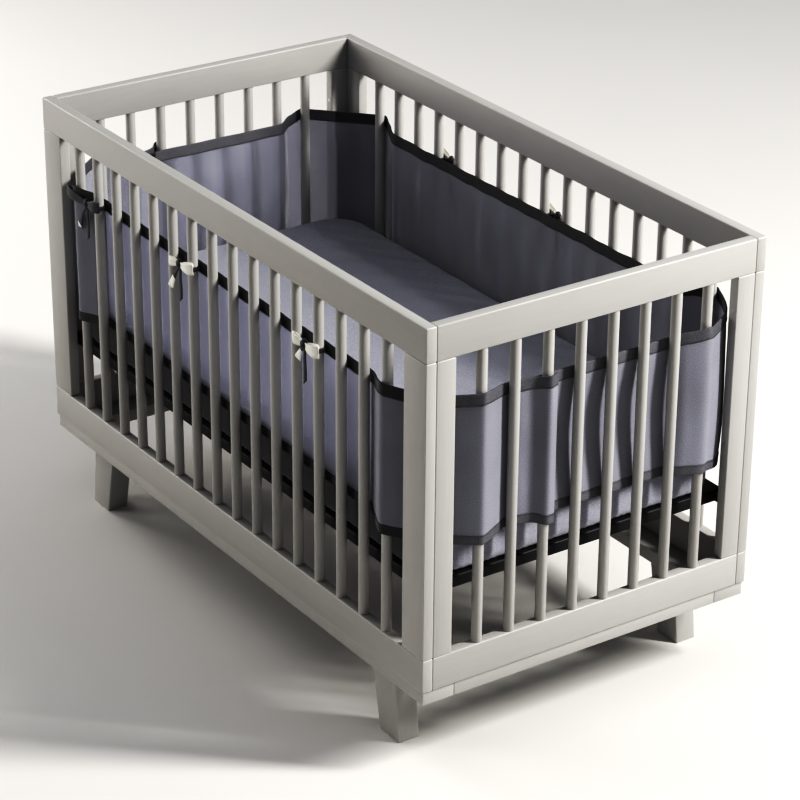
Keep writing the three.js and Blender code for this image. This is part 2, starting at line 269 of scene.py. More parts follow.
def painted_wood(name, stretch):
    """Satin paint over wood, with faint grain along the board and paler edges: partly rubbed paint, partly a
    painted highlight.
    """
    material, tree, shader = new_material(name)
    place = coordinates(tree, "Object")
    tone = mottled(tree, place, scale=5.0, depth=0.07)
    mapping = add(tree, "ShaderNodeMapping")
    mapping.inputs["Scale"].default_value = stretch
    tree.links.new(place, mapping.inputs["Vector"])
    grain = fine_noise(tree, mapping.outputs[0], GRAIN_SCALE, detail=3.0)
    # The rounded edges turn paler: partly rubbed paint, partly a painted highlight where they catch the light
    edge = attribute(tree, "worn_highlit_edge")
    colour = times(tree, PAINT, tone)
    colour = times(tree, colour, between(tree, grain, low=0.96, high=1.04))
    colour = mix_colour(tree, math_node(tree, "MULTIPLY", edge, WORN_HIGHLIT_SHARE), colour, PAINT_WORN_HIGHLIT_EDGE)
    tree.links.new(colour, shader.inputs["Base Color"])
    tree.links.new(between(tree, grain, low=0.36, high=0.52), shader.inputs["Roughness"])
    bump(tree, grain, shader, strength=0.25, distance=0.0004)
    return material


def support_steel():
    """Black powder-coated steel."""
    material, tree, shader = new_material("support_steel")
    place = coordinates(tree, "Object")
    tone = mottled(tree, place, scale=9.0, depth=0.3)
    tree.links.new(times(tree, STEEL, tone), shader.inputs["Base Color"])
    orange_peel = fine_noise(tree, place, 700.0)
    tree.links.new(between(tree, orange_peel, low=0.4, high=0.6), shader.inputs["Roughness"])
    bump(tree, orange_peel, shader, strength=0.2, distance=0.0003)
    return material


def fitted_cotton():
    """The mattress's dark fitted sheet: a close weave with a slightly worn, flecked face, and painted shade
    on its front side.
    """
    material, tree, shader = new_material("fitted_cotton")
    place = coordinates(tree, "Object")
    tone = mottled(tree, place, scale=4.0, depth=0.25)
    flecks = fine_noise(tree, place, 420.0)
    fleck = between(tree, flecks, low=0.55, high=1.45)
    # Painted shade: the sheet is made darker on its front side, where little light reaches
    unshaded = attribute(tree, "unshaded")
    colour = mix_colour(tree, unshaded, SHEET_PAINTED_SHADE, SHEET)
    colour = times(tree, times(tree, colour, tone), fleck)
    tree.links.new(colour, shader.inputs["Base Color"])
    shader.inputs["Roughness"].default_value = 0.9
    shader.inputs["Sheen Weight"].default_value = 0.35
    shader.inputs["Sheen Roughness"].default_value = 0.5
    weave = threaded(tree, place, across=550.0, along=550.0)
    height = math_node(tree, "ADD", weave.outputs["Height"], flecks)
    bump(tree, height, shader, strength=0.5, distance=0.0005)
    return material


def mesh_cloth():
    """Sheer warp-knit mesh: rows of small holes, shiny cross threads, and close hems at the panel's ends."""
    material, tree, shader = new_material("mesh_cloth")
    uv = coordinates(tree, "UV")
    hem = attribute(tree, "hem")
    sheer = attribute(tree, "sheer")
    tone = mottled(tree, uv, scale=9.0, depth=0.3)
    speck = mottled(tree, uv, scale=520.0, depth=0.9)
    knit = threaded(tree, uv, across=620.0, along=620.0)
    open_share = math_node(tree, "GREATER_THAN", knit.outputs["Gaps"], HOLE_EDGE)
    bare = math_node(tree, "SUBTRACT", 1.0, hem, clamp=True)
    holes = math_node(tree, "MULTIPLY", math_node(tree, "MULTIPLY", open_share, bare), sheer)
    tree.links.new(math_node(tree, "SUBTRACT", 1.0, holes), shader.inputs["Alpha"])
    colour = times(tree, times(tree, MESH_FACE, tone), speck)
    tree.links.new(colour, shader.inputs["Base Color"])
    rough = between(tree, knit.outputs["Height"], low=0.66, high=0.76)
    tree.links.new(rough, shader.inputs["Roughness"])
    shine_across(tree, shader, 0.75)
    shader.inputs["Sheen Weight"].default_value = 0.12
    shader.inputs["Sheen Roughness"].default_value = 0.4
    relief = bump(tree, knit.outputs["Height"], shader, strength=0.3, distance=0.0003)
    glow = add(tree, "ShaderNodeBsdfTranslucent")
    glow.inputs["Color"].default_value = (*MESH_GLOW, 1.0)
    tree.links.new(relief.outputs["Normal"], glow.inputs["Normal"])
    threads = add(tree, "ShaderNodeMixShader")
    passing = between(tree, math_node(tree, "POWER", sheer, 3.0), low=0.02, high=0.34)
    tree.links.new(passing, threads.inputs[0])
    tree.links.new(shader.outputs[0], threads.inputs[1])
    tree.links.new(glow.outputs[0], threads.inputs[2])
    tree.links.new(threads.outputs[0], tree.nodes["Material Output"].inputs["Surface"])
    return material


def satin_binding():
    """Dark satin tape with a fine cross rib, flecked, with a painted sheen that makes it paler on the short
    ends.
    """
    material, tree, shader = new_material("satin_binding")
    uv = coordinates(tree, "UV")
    tone = mottled(tree, uv, scale=30.0, depth=0.4)
    speck = mottled(tree, uv, scale=380.0, depth=1.6)
    # Painted sheen: the tape turns paler on the short ends, standing in for the light it catches there
    painted_sheen = attribute(tree, "painted_sheen")
    colour = mix_colour(tree, painted_sheen, SATIN, SATIN_PAINTED_SHEEN)
    tree.links.new(times(tree, times(tree, colour, tone), speck), shader.inputs["Base Color"])
    rib = threaded(tree, uv, across=900.0, along=500.0)
    rough = between(tree, rib.outputs["Height"], low=0.58, high=0.68)
    tree.links.new(rough, shader.inputs["Roughness"])
    shine_across(tree, shader, 0.8)
    bump(tree, rib.outputs["Height"], shader, strength=0.35, distance=0.0003)
    return material


def ribbon(name, colour):
    """Narrow woven ribbon."""
    material, tree, shader = new_material(name)
    uv = coordinates(tree, "UV")
    tone = mottled(tree, uv, scale=60.0, depth=0.15)
    tree.links.new(times(tree, colour, tone), shader.inputs["Base Color"])
    rib = threaded(tree, uv, across=1100.0, along=600.0)
    rough = between(tree, rib.outputs["Height"], low=0.45, high=0.60)
    tree.links.new(rough, shader.inputs["Roughness"])
    shader.inputs["Sheen Weight"].default_value = 0.2
    bump(tree, rib.outputs["Height"], shader, strength=0.4, distance=0.0003)
    return material


def thread():
    """Sewing thread: a twisted, slightly glossy strand."""
    material, tree, shader = new_material("sewing_thread")
    place = coordinates(tree, "Object")
    tone = mottled(tree, place, scale=300.0, depth=0.5)
    tree.links.new(times(tree, STRAND, tone), shader.inputs["Base Color"])
    shader.inputs["Roughness"].default_value = 0.45
    return material


def zinc():
    """Plated inserts in the stiles."""
    material, tree, shader = new_material("zinc_insert")
    place = coordinates(tree, "Object")
    tone = mottled(tree, place, scale=200.0, depth=0.2)
    tree.links.new(times(tree, PLATING, tone), shader.inputs["Base Color"])
    shader.inputs["Metallic"].default_value = 0.9
    tree.links.new(math_node(tree, "MULTIPLY", tone, 0.3), shader.inputs["Roughness"])
    return material


WOOD = {
    "x": painted_wood("painted_wood_x", (ALONG_GRAIN, 1.0, 1.0)),
    "y": painted_wood("painted_wood_y", (1.0, ALONG_GRAIN, 1.0)),
    "z": painted_wood("painted_wood_z", (1.0, 1.0, ALONG_GRAIN)),
}
STEEL_MATERIAL = support_steel()
COTTON = fitted_cotton()
MESH = mesh_cloth()
BINDING_SATIN = satin_binding()
RIBBON_DARK = ribbon("ribbon_dark", RIBBON)
RIBBON_CREAM = ribbon("ribbon_cream", CREAM)
THREAD = thread()
ZINC = zinc()


# Turning a bmesh into a piece
def piece(name, bm, materials, replaced=(), smooth=None):
    """A finished piece that rides on the part's one body."""
    mesh = bpy.data.meshes.new(name)
    bm.to_mesh(mesh)
    bm.free()
    for material in materials:
        mesh.materials.append(material)
    if smooth is not None:
        mesh.shade_smooth()
        mesh.set_sharp_from_angle(angle=math.radians(smooth))
    made = bpy.data.objects.new(name, mesh)
    bpy.context.scene.collection.objects.link(made)
    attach(made, "root")
    if replaced:
        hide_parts(*replaced)
    return made


# Marks the faces of rounded edges, which are painted paler for wear and as a painted highlight
def worn_highlit_layer(bm):
    return bm.faces.layers.float.get("worn_highlit_edge") or bm.faces.layers.float.new("worn_highlit_edge")


def bevel_edges(bm, edges, offset, segments):
    bevel = bmesh.ops.bevel(
        bm, geom=edges, offset=offset, segments=segments, profile=0.5, affect="EDGES", material=-1
    )
    return bevel["faces"]


def round_edges(bm, edges, rounding, worn_highlit):
    """Rounds edges and marks their new faces, which are painted paler for wear and as a painted highlight."""
    for face in bevel_edges(bm, edges, rounding, 3):
        face[worn_highlit] = 1.0


def is_level(edge):
    return abs(edge.verts[0].co.z - edge.verts[1].co.z) < LEVEL


def plain_box(bm, low, high):
    made = bmesh.ops.create_cube(bm, size=1.0)["verts"]
    bmesh.ops.scale(bm, vec=high - low, verts=made)
    bmesh.ops.translate(bm, vec=(low + high) / 2, verts=made)
    return made


def block(bm, low, high, rounding):
    """A box with rounded edges between two corners."""
    worn_highlit = worn_highlit_layer(bm)
    made = plain_box(bm, low, high)
    round_edges(bm, list({edge for vert in made for edge in vert.link_edges}), rounding, worn_highlit)


# Wood
BOARD_ROUND = 2.2 * MM
SPINDLE_ROUND = 0.8 * MM
SPINDLE_SUNK = 2 * MM
SPINDLE_CLEAR = 0.15 * MM


def board(node, grain):
    bm = bmesh.new()
    low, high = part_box(node)
    block(bm, low, high, BOARD_ROUND)
    return piece(f"{node}_wood", bm, [WOOD[grain]], [node], smooth=35)


def spindle_places(side):
    middle = (side["spindles"] - 1) / 2
    return [(i - middle) * side["pitch"] for i in range(side["spindles"])]


LONG_PLACES = spindle_places(LONG_SIDE)
SHORT_PLACES = spindle_places(SHORT_SIDE)


def bottom_rail(side_name, grain):
    node = f"{side_name}_grille"
    bm = bmesh.new()
    low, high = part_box(node)
    top = Vector((high.x, high.y, low.z + RAIL))
    block(bm, low, top, BOARD_ROUND)
    return piece(f"{side_name}_bottom_rail_wood", bm, [WOOD[grain]], [node], smooth=35)


def spindles(side_name, places, at):
    """Turned round spindles, let into the bottom rail and just short of the top one, with eased ends."""
    bm = bmesh.new()
    low = GRILLE_Z - SPINDLE_SUNK
    high = TOP_RAIL_Z - SPINDLE_CLEAR
    for u in places:
        x, y = at(u)
        made = bmesh.ops.create_cone(
            bm,
            cap_ends=True,
            segments=SPINDLE_SIDES,
            radius1=SPINDLE_R,
            radius2=SPINDLE_R,
            depth=high - low,
            matrix=Matrix.Translation((x, y, (low + high) / 2)),
        )["verts"]
        rims = [edge for edge in {e for v in made for e in v.link_edges} if is_level(edge)]
        bevel_edges(bm, rims, SPINDLE_ROUND, 2)
    node = f"{side_name}_grille"
    return piece(f"{side_name}_spindles", bm, [WOOD["z"]], [node], smooth=40)


# A splayed foot's inner and outer distances from the middle, at the floor and under the base strip
FOOT = {"bottom": (514 * MM, 576 * MM), "top": (485 * MM, 560 * MM)}
FOOT_ROUND = 3 * MM


def foot(node):
    low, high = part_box(node)
    sign = 1 if low.x > 0 else -1
    bm = bmesh.new()
    worn_highlit = worn_highlit_layer(bm)
    made = bmesh.ops.create_cube(bm, size=1.0)["verts"]
    for vert in made:
        inner, outer = FOOT["top"] if vert.co.z > 0 else FOOT["bottom"]
        outwards = vert.co.x * sign > 0
        vert.co.x = sign * (outer if outwards else inner)
        vert.co.y = high.y if vert.co.y > 0 else low.y
        vert.co.z = high.z if vert.co.z > 0 else low.z
    round_edges(bm, bm.edges[:], FOOT_ROUND, worn_highlit)
    bmesh.ops.recalc_face_normals(bm, faces=bm.faces[:])
    return piece(f"{node}_wood", bm, [WOOD["z"]], [node], smooth=35)


SIDES = {
    "front": {"at": lambda u: (u, -LONG_Y), "along": (1, 0), "out": (0, -1), "places": LONG_PLACES},
    "right": {"at": lambda u: (SHORT_X, u), "along": (0, 1), "out": (1, 0), "places": SHORT_PLACES},
    "back": {"at": lambda u: (-u, LONG_Y), "along": (-1, 0), "out": (0, 1), "places": LONG_PLACES},
    "left": {"at": lambda u: (-SHORT_X, -u), "along": (0, -1), "out": (-1, 0), "places": SHORT_PLACES},
}


def crib():
    for side_name, side in SIDES.items():
        grain = "x" if side["along"][0] else "y"
        ends = ("left", "right") if grain == "x" else ("front", "back")
        board(f"{side_name}_top_rail", grain)
        board(f"{side_name}_base", grain)
        for end in ends:
            board(f"{side_name}_stile_{end}", "z")
        bottom_rail(side_name, grain)
        spindles(side_name, side["places"], side["at"])
    for end in ("left", "right"):
        for edge in ("front", "back"):
            foot(f"foot_{end}_{edge}")


# Threaded inserts in the short ends' stiles, in the faces towards the spindles
INSERT = {"radius": 3.6 * MM, "bore": 1.8 * MM, "depth": 1.2 * MM, "sides": 20}
INSERT_HEIGHTS = [320 * MM, 470 * MM, 740 * MM]


def inserts():
    bm = bmesh.new()
    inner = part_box("right_stile_back")[0].y
    for sign_y in (-1, 1):
        turn = Matrix.Rotation(sign_y * math.pi / 2, 4, "X")
        for sign_x in (-1, 1):
            x = sign_x * SHORT_X
            for z in INSERT_HEIGHTS:
                y = sign_y * (inner - INSERT["depth"] / 4)
                rim = bmesh.ops.create_circle(
                    bm,
                    cap_ends=True,
                    segments=INSERT["sides"],
                    radius=INSERT["radius"],
                    matrix=Matrix.Translation((x, y, z)) @ turn,
                )["verts"]
                face = rim[0].link_faces[0]
                bmesh.ops.inset_region(bm, faces=[face], thickness=INSERT["radius"] - INSERT["bore"])
                pushed = bmesh.ops.extrude_face_region(bm, geom=[face])
                moved = [v for v in pushed["geom"] if isinstance(v, bmesh.types.BMVert)]
                bmesh.ops.translate(bm, vec=(0, sign_y * INSERT["depth"], 0), verts=moved)
    bmesh.ops.recalc_face_normals(bm, faces=bm.faces[:])
    return piece("stile_inserts", bm, [ZINC], smooth=40)


# Support and mattress
SUPPORT = {"round": 3 * MM, "clear": 0.2 * MM}
TAB = {"reach": 18 * MM, "length": 30 * MM, "width": 22 * MM, "inset": 4 * MM, "round": 1.5 * MM}


def support():
    """The flat support and its four tabs that reach the stiles, with softened edges."""
    low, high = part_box("mattress_support")
    bm = bmesh.new()
    clear = Vector((0, 0, SUPPORT["clear"]))
    inner_low = Vector((low.x + TAB["reach"], low.y, low.z))
    inner_high = Vector((high.x - TAB["reach"], high.y, high.z))
    block(bm, inner_low + clear, inner_high - clear, SUPPORT["round"])
    for sign_x in (-1, 1):
        for sign_y in (-1, 1):
            x_in, y_in = high.x - TAB["length"], high.y - TAB["width"]
            near = Vector((sign_x * x_in, sign_y * y_in, low.z + TAB["inset"]))
            far = Vector((sign_x * high.x, sign_y * high.y, high.z - TAB["inset"]))
            block(bm, Vector(map(min, near, far)), Vector(map(max, near, far)), TAB["round"])
    return piece("support_panel", bm, [STEEL_MATERIAL], ["mattress_support"], smooth=35)


MATTRESS_CORNER = 78 * MM
MATTRESS_EDGE = 18 * MM
MATTRESS_VOXEL = 7 * MM
GATHER = {"depth": 1.6 * MM, "length": 17 * MM, "reach": 45 * MM, "rim": 40 * MM}
GATHER_WAVER = {"depth": 3, "scale": 18}
DENT = {"scale": (3.1, 4.3, 3), "depth": 1.6 * MM, "least": 1.2 * MM}
CREASE = {"scale": (14, 17, 9), "depth": 0.7 * MM, "on_top": 0.3}
SHEET_INSET = 0.4 * MM
# Painted shade on the sheet's front side: where it begins and how far it blends, by the faces' normals
FRONT_SHADE = {"from": 0.3, "over": 0.4}


def apply_modifiers(made):
    depsgraph = bpy.context.evaluated_depsgraph_get()
    finished = bpy.data.meshes.new_from_object(made.evaluated_get(depsgraph))
    old = made.data
    made.modifiers.clear()
    made.data = finished
    bpy.data.meshes.remove(old)


def uneven(place, scale):
    """Noise from -1 to 1, with its own scale along each axis."""
    return noise.noise(Vector([value * times_over for value, times_over in zip(place, scale)]))


def mattress():
    """The mattress in its fitted sheet: rolled edges, gathers at the lower edge, and painted shade that
    darkens its front side.
    """
    low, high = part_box("mattress")
    bm = bmesh.new()
    plain_box(bm, low, high)
    bevel_edges(bm, [edge for edge in bm.edges if not is_level(edge)], MATTRESS_CORNER, 10)
    bevel_edges(bm, [edge for edge in bm.edges if is_level(edge)], MATTRESS_EDGE, 4)
    made = piece("fitted_sheet", bm, [COTTON], ["mattress"])
    remesh = made.modifiers.new("even_faces", "REMESH")
    remesh.mode = "VOXEL"
    remesh.voxel_size = MATTRESS_VOXEL
    bpy.context.view_layer.update()
    apply_modifiers(made)
    made.data.shade_smooth()
    made.data.update()
    normals = [vert.normal.copy() for vert in made.data.vertices]
    half = Vector(((high.x - low.x) / 2, (high.y - low.y) / 2))
    for vert, normal in zip(made.data.vertices, normals):
        x, y, z = vert.co
        rim = min(half.x - abs(x), half.y - abs(y))
        waver = GATHER_WAVER["depth"] * noise.noise(Vector((x, y, 0)) * GATHER_WAVER["scale"])
        gathers = math.sin((x + y) / GATHER["length"] * 2 * math.pi + waver)
        near_floor = max(0.0, 1 - (z - low.z) / GATHER["reach"])
        side = min(1.0, max(0.0, 1 - rim / GATHER["rim"]))
        tug = -(gathers * 0.5 + 0.5) * GATHER["depth"] * near_floor * side
        dent = min(0.0, uneven(vert.co, DENT["scale"]) * DENT["depth"] - DENT["least"])
        crease = uneven(vert.co, CREASE["scale"]) * CREASE["depth"] * (CREASE["on_top"] + side)
        vert.co += normal * (tug + dent + crease - SHEET_INSET)
    # Painted shade: faces turned towards the front get the darker sheet colour, standing in for the shade
    # there
    unshaded = made.data.attributes.new("unshaded", "FLOAT", "POINT")
    for place, normal in enumerate(normals):
        unshaded.data[place].value = 1 - min(1.0, max(0.0, (-normal.y - FRONT_SHADE["from"]) / FRONT_SHADE["over"]))
    made.data.materials.clear()
    made.data.materials.append(COTTON)
    bpy.context.view_layer.update()
    return made


# The weave: points of the cloth in plan, with how its edges rise or fall and how far it sags inwards there
Knot = namedtuple("Knot", "x y lift drop slack peak")
Column = namedtuple("Column", "x y out distance top bottom slack peak")

OUTSIDE = {"lift": 13, "drop": -4}
CROSSING = {"lift": 8, "drop": -2}
ROUND_CORNER = {"lift": 11, "drop": -4}
CORNER_TURN = 38
CORNER_PEAK = 0.3
GAP_SLACK = {"mean": 3.2, "swing": 1.6, "beat": 2.3}
GAP_PEAK = {"mean": 0.5, "swing": 0.14, "beat": 1.7}
GAP_LIFT = -1.5
END_WAVES = [
    {"slack": 6, "peak": 0.5},
    {"slack": 9, "peak": 0.56},
    {"slack": 9, "peak": 0.55},
    {"slack": 5, "peak": 0.5},
]
BEHIND_SPINDLE = 0.75
FLAP = {"spindle": 2, "past": 14 * MM, "under": 24 * MM, "rise": 19 * MM, "crease": 24.6 * MM, "edge": 4 * MM}
WAY_OUT = {"after": 32 * MM, "out": 1.5 * MM}


def knot(side, u, n, lift=0, drop=0, slack=0, peak=0.5):
    """A point n outwards from a side's spindle line. lift, drop and slack are in millimetres."""
    x, y = SIDES[side]["at"](u)
    out = SIDES[side]["out"]
    return Knot(x + out[0] * n, y + out[1] * n, lift * MM, drop * MM, slack * MM, peak)


def swung(values, index):
    """A value that swings about its mean from gap to gap."""
    return values["mean"] + values["swing"] * math.sin(index * values["beat"])


def gap_slack(index):
    """Between two spindles the loose cloth sags a little, by an amount that varies from gap to gap."""
    return {"slack": swung(GAP_SLACK, index), "peak": swung(GAP_PEAK, index), "lift": GAP_LIFT}


def long_run(side):
    last = len(LONG_PLACES) - 1
    points = []
    for i, u in enumerate(LONG_PLACES):
        outer = i in (0, last)
        inner = -WEAVE - TURN_ROOM if i in (1, last - 1) else -WEAVE
        points.append(knot(side, u, WEAVE, **OUTSIDE) if outer else knot(side, u, inner))
        if i == last:
            break
        middle = u + LONG_SIDE["pitch"] / 2
        if i in (0, last - 1):
            points.append(knot(side, middle, 0, **CROSSING))
        else:
            points.append(knot(side, middle, -WEAVE, **gap_slack(i)))
    return points


def corner(start, end, bulge=13, lift=6, drop=0, slack=0):
    """Round a corner inside its post, from one side's last spindle to the next side's first."""
    turn = math.radians(CORNER_TURN)
    off = (WEAVE * math.sin(turn), WEAVE * math.cos(turn))
    leaving = knot(start, SIDES[start]["places"][-1] + off[0], off[1], **ROUND_CORNER)
    arriving = knot(end, SIDES[end]["places"][0] - off[0], off[1], **ROUND_CORNER)
    share = bulge * MM / math.sqrt(2)
    out = [a + b for a, b in zip(SIDES[start]["out"], SIDES[end]["out"])]
    x = (leaving.x + arriving.x) / 2 + out[0] * share
    y = (leaving.y + arriving.y) / 2 + out[1] * share
    return [leaving, Knot(x, y, lift * MM, drop * MM, slack * MM, CORNER_PEAK), arriving]


def end_run(side):
    """The back panel on a short end, from behind the flap's spindle out to the corner spindle."""
    last = len(SHORT_PLACES) - 1
    points = [knot(side, SHORT_PLACES[FLAP["spindle"]] - FLAP["under"], -WEAVE)]
    for i in range(FLAP["spindle"], last + 1):
        if i == last:
            points.append(knot(side, SHORT_PLACES[i], WEAVE, **OUTSIDE))
            break
        wave = END_WAVES[max(0, i - 1 - FLAP["spindle"])]
        behind = wave["slack"] * BEHIND_SPINDLE if i > FLAP["spindle"] else 0
        points.append(knot(side, SHORT_PLACES[i], -WEAVE, slack=behind, peak=wave["peak"]))
        if i == last - 1:
            points.append(knot(side, SHORT_PLACES[i] + WAY_OUT["after"], WAY_OUT["out"], **CROSSING))
        else:
            middle = SHORT_PLACES[i] + SHORT_SIDE["pitch"] / 2
            points.append(knot(side, middle, -WEAVE, **END_WAVES[i - FLAP["spindle"]]))
    return points


def flap_run(side):
    """The front panel's flap: outside the corner spindle, inside the next and outside the third."""
    first, second, third = SHORT_PLACES[:3]
    half = SHORT_SIDE["pitch"] / 2
    return [
        knot(side, first, WEAVE, **OUTSIDE),
        knot(side, first + half, 0, lift=10, drop=-2),
        knot(side, second, -WEAVE, lift=4),
        knot(side, second + FLAP["rise"], -10 * MM, lift=5, drop=-1),
        knot(side, third - FLAP["crease"], -3 * MM, lift=6, drop=-2),
        knot(side, third - FLAP["edge"], WEAVE + 1.5 * MM, lift=9, drop=-5),
        knot(side, third + FLAP["past"], WEAVE - 2 * MM, lift=10, drop=-6),
    ]


def mirrored(points, side):
    """A run seen from the other end of its side."""
    along = SIDES[side]["along"]
    turned = [p._replace(x=-p.x if along[0] else p.x, y=-p.y if along[1] else p.y) for p in points]
    return turned[::-1]


FRONT_PANEL = [
    *mirrored(flap_run("left"), "left"),
    *corner("left", "front"),
    *long_run("front"),
    *corner("front", "right", bulge=12, drop=-3),
    *flap_run("right"),
]
BACK_PANEL = [
    *end_run("right"),
    *corner("right", "back", bulge=18, lift=10, drop=-26, slack=-5),
    *long_run("back"),
    *corner("back", "left"),
    *mirrored(end_run("left"), "left"),
]


def span_curve(before, start, end, after):
    """A centripetal Catmull-Rom span between start and end, as a function of a share from 0 to 1."""
    steps = [max((b - a).length ** 0.5, 1e-9) for a, b in ((before, start), (start, end), (end, after))]
    leave = (start - before) / steps[0] - (end - before) / (steps[0] + steps[1]) + (end - start) / steps[1]
    arrive = (end - start) / steps[1] - (after - start) / (steps[1] + steps[2]) + (after - end) / steps[2]
    leave *= steps[1]
    arrive *= steps[1]

    def at(share):
        square, cube = share**2, share**3
        return (
            start * (2 * cube - 3 * square + 1)
            + leave * (cube - 2 * square + share)
            + end * (3 * square - 2 * cube)
            + arrive * (cube - square)
        )

    return at


def smooth_line(points, steps):
    """A smooth curve through points, as a list of its points, each with its place among the given ones."""
    padded = [2 * points[0] - points[1], *points, 2 * points[-1] - points[-2]]
    line = []
    for i in range(len(points) - 1):
        at = span_curve(*padded[i : i + 4])
        line += [(at(step / steps), i + step / steps) for step in range(steps)]
    return [*line, (points[-1], len(points) - 1.0)]


def columns_of(knots):
    """Evenly spaced columns of a panel along its weave."""
    fine = smooth_line([Vector((k.x, k.y)) for k in knots], SPAN_STEPS)
    reached = [0.0]
    for (a, _), (b, _) in zip(fine, fine[1:]):
        reached.append(reached[-1] + (b - a).length)
    count = round(reached[-1] / COLUMN_STEP)
    columns = []
    index = 0
    for i in range(count + 1):
        goal = reached[-1] * i / count
        while index < len(reached) - 2 and reached[index + 1] < goal:
            index += 1
        share = (goal - reached[index]) / max(reached[index + 1] - reached[index], 1e-9)
        spot = fine[index][0].lerp(fine[index + 1][0], share)
        position = fine[index][1] * (1 - share) + fine[index + 1][1] * share
        heading = (fine[index + 1][0] - fine[index][0]).normalized()
        before = knots[min(int(position), len(knots) - 1)]
        after = knots[min(int(position) + 1, len(knots) - 1)]
        part = position - int(position)
        part = part * part * (3 - 2 * part)
        lift, drop, slack, peak = (
            getattr(before, key) * (1 - part) + getattr(after, key) * part
            for key in ("lift", "drop", "slack", "peak")
        )
        out = Vector((heading.y, -heading.x))
        columns.append(Column(spot.x, spot.y, out, goal, CLOTH_TOP + lift, CLOTH_BOTTOM + drop, slack, peak))
    return columns


def sag(column, share):
    """How far the cloth sags inwards at a share of its height: nothing at its edges, most at the peak."""
    nearer = share / column.peak if share < column.peak else (1 - share) / (1 - column.peak)
    return column.slack * math.sin(max(0.0, nearer) * math.pi / 2) ** 1.5


RIPPLES = [
    {"depth": 0.9 * MM, "along": 14, "up": 5, "shift": 0},
    {"depth": 0.35 * MM, "along": 46, "up": 11, "shift": 7},
]
EDGE_WAVE = {"depth": 1.6 * MM, "along": 11, "row": 3.0}
LOWER_EDGE_SHIFT = 2


def ripple(column, z, seed):
    """Small uneven waves of the cloth."""
    push = 0.0
    for wave in RIPPLES:
        place = Vector((column.distance * wave["along"], z * wave["up"], seed + wave["shift"]))
        push += wave["depth"] * noise.noise(place)
    return push


def edge_wave(column, seed):
    """How the free edges wander up and down."""
    place = Vector((column.distance * EDGE_WAVE["along"], seed, EDGE_WAVE["row"]))
    return EDGE_WAVE["depth"] * noise.noise(place)


def upper_edge(column, seed):
    return column.top + edge_wave(column, seed)


def lower_edge(column, seed):
    return column.bottom + edge_wave(column, seed + LOWER_EDGE_SHIFT)


def on_cloth(column, z, seed):
    """The point of the cloth's middle surface on a column at a height."""
    share = (z - column.bottom) / (column.top - column.bottom)
    offset = -sag(column, min(1.0, max(0.0, share))) + ripple(column, z, seed)
    return Vector((column.x + column.out.x * offset, column.y + column.out.y * offset, z))


def lay_flat(faces, uv_layer, flat):
    """Gives each corner its vertex's place on the flat cloth."""
    for face in faces:
        for loop in face.loops:
            loop[uv_layer].uv = flat[loop.vert]


def bent_grid(columns, rows, low, high, seed, pucker=None):
    """A grid bent along a panel's columns between two heights, with its UV map in metres."""
    bm = bmesh.new()
    uv_layer = bm.loops.layers.uv.new("UVMap")
    count = len(columns) - 1
    bmesh.ops.create_grid(bm, x_segments=count, y_segments=rows, size=1.0, calc_uvs=True)
    flat = {}
    for vert in bm.verts:
        column = columns[round((vert.co.x + 1) / 2 * count)]
        share = (vert.co.y + 1) / 2
        z = low(column) * (1 - share) + high(column) * share
        point = on_cloth(column, z, seed)
        if pucker:
            push = pucker(column, share)
            point.x += column.out.x * push
            point.y += column.out.y * push
        vert.co = point
        flat[vert] = (column.distance, z)
    lay_flat(bm.faces, uv_layer, flat)
    return bm


HEM_WIDTH = 15 * MM
TUCKED = 5 * MM

# How sheer the mesh looks on each side: it closes up where it is seen at a slant or folded over
SHEER = {"front": 1.0, "left": 0.9, "back": 0.5, "right": 0.05}
SHEER_CORNER = 0.4


# The tape's painted sheen: it is made paler on the short ends, where it catches the light
PAINTED_SHEEN = {"right": 0.85, "left": 0.8}


def painted_sheen_of(place):
    if abs(place.x) < SHORT_X - 2 * WEAVE:
        return 0.0
    return PAINTED_SHEEN["right"] if place.x > 0 else PAINTED_SHEEN["left"]


def sheerness(place):
    if place.x > SHORT_X - 4 * WEAVE:
        return SHEER["right"]
    if place.x < -SHORT_X + 2 * WEAVE:
        return SHEER["left"]
    if abs(place.x) > LONG_PLACES[-2]:
        return SHEER_CORNER
    return SHEER["front"] if place.y < 0 else SHEER["back"]


def liner_cloth(name, columns, seed):
    """The mesh between the bindings, tucked a little way into both."""

    def low(column):
        return lower_edge(column, seed) + BINDING["bottom_height"] - TUCKED

    def high(column):
        return upper_edge(column, seed) - BINDING["height"] + TUCKED

    bm = bent_grid(columns, CLOTH_ROWS, low, high, seed)
    total = columns[-1].distance
    hem = bm.verts.layers.float.new("hem")
    sheer = bm.verts.layers.float.new("sheer")
    uv_layer = bm.loops.layers.uv["UVMap"]
    for face in bm.faces:
        for loop in face.loops:
            distance = loop[uv_layer].uv.x
            from_end = min(distance, total - distance)
            loop.vert[hem] = 1.0 if from_end < HEM_WIDTH else 0.0
            loop.vert[sheer] = sheerness(loop.vert.co)
    made = piece(f"liner_{name}_cloth", bm, [MESH], [f"liner_{name}_panel"], smooth=75)
    thicken(made, CLOTH)
    return made


def thicken(made, thickness):
    solidify = made.modifiers.new("thickness", "SOLIDIFY")
    solidify.thickness = thickness
    solidify.offset = 0.0
    solidify.use_even_offset = True


PUCKER = {"depth": 0.35 * MM, "along": 75, "up": 2.0, "shift": 20}
TAPE_ROWS = 6
FOLD = {"round": 1.2 * MM, "angle": 60}


def tape_pucker(seed):
    """Puckers of the binding: shallow, uneven waves."""

    def push(column, share):
        place = Vector((column.distance * PUCKER["along"], share * PUCKER["up"], seed + PUCKER["shift"]))
        return PUCKER["depth"] * noise.noise(place)

    return push


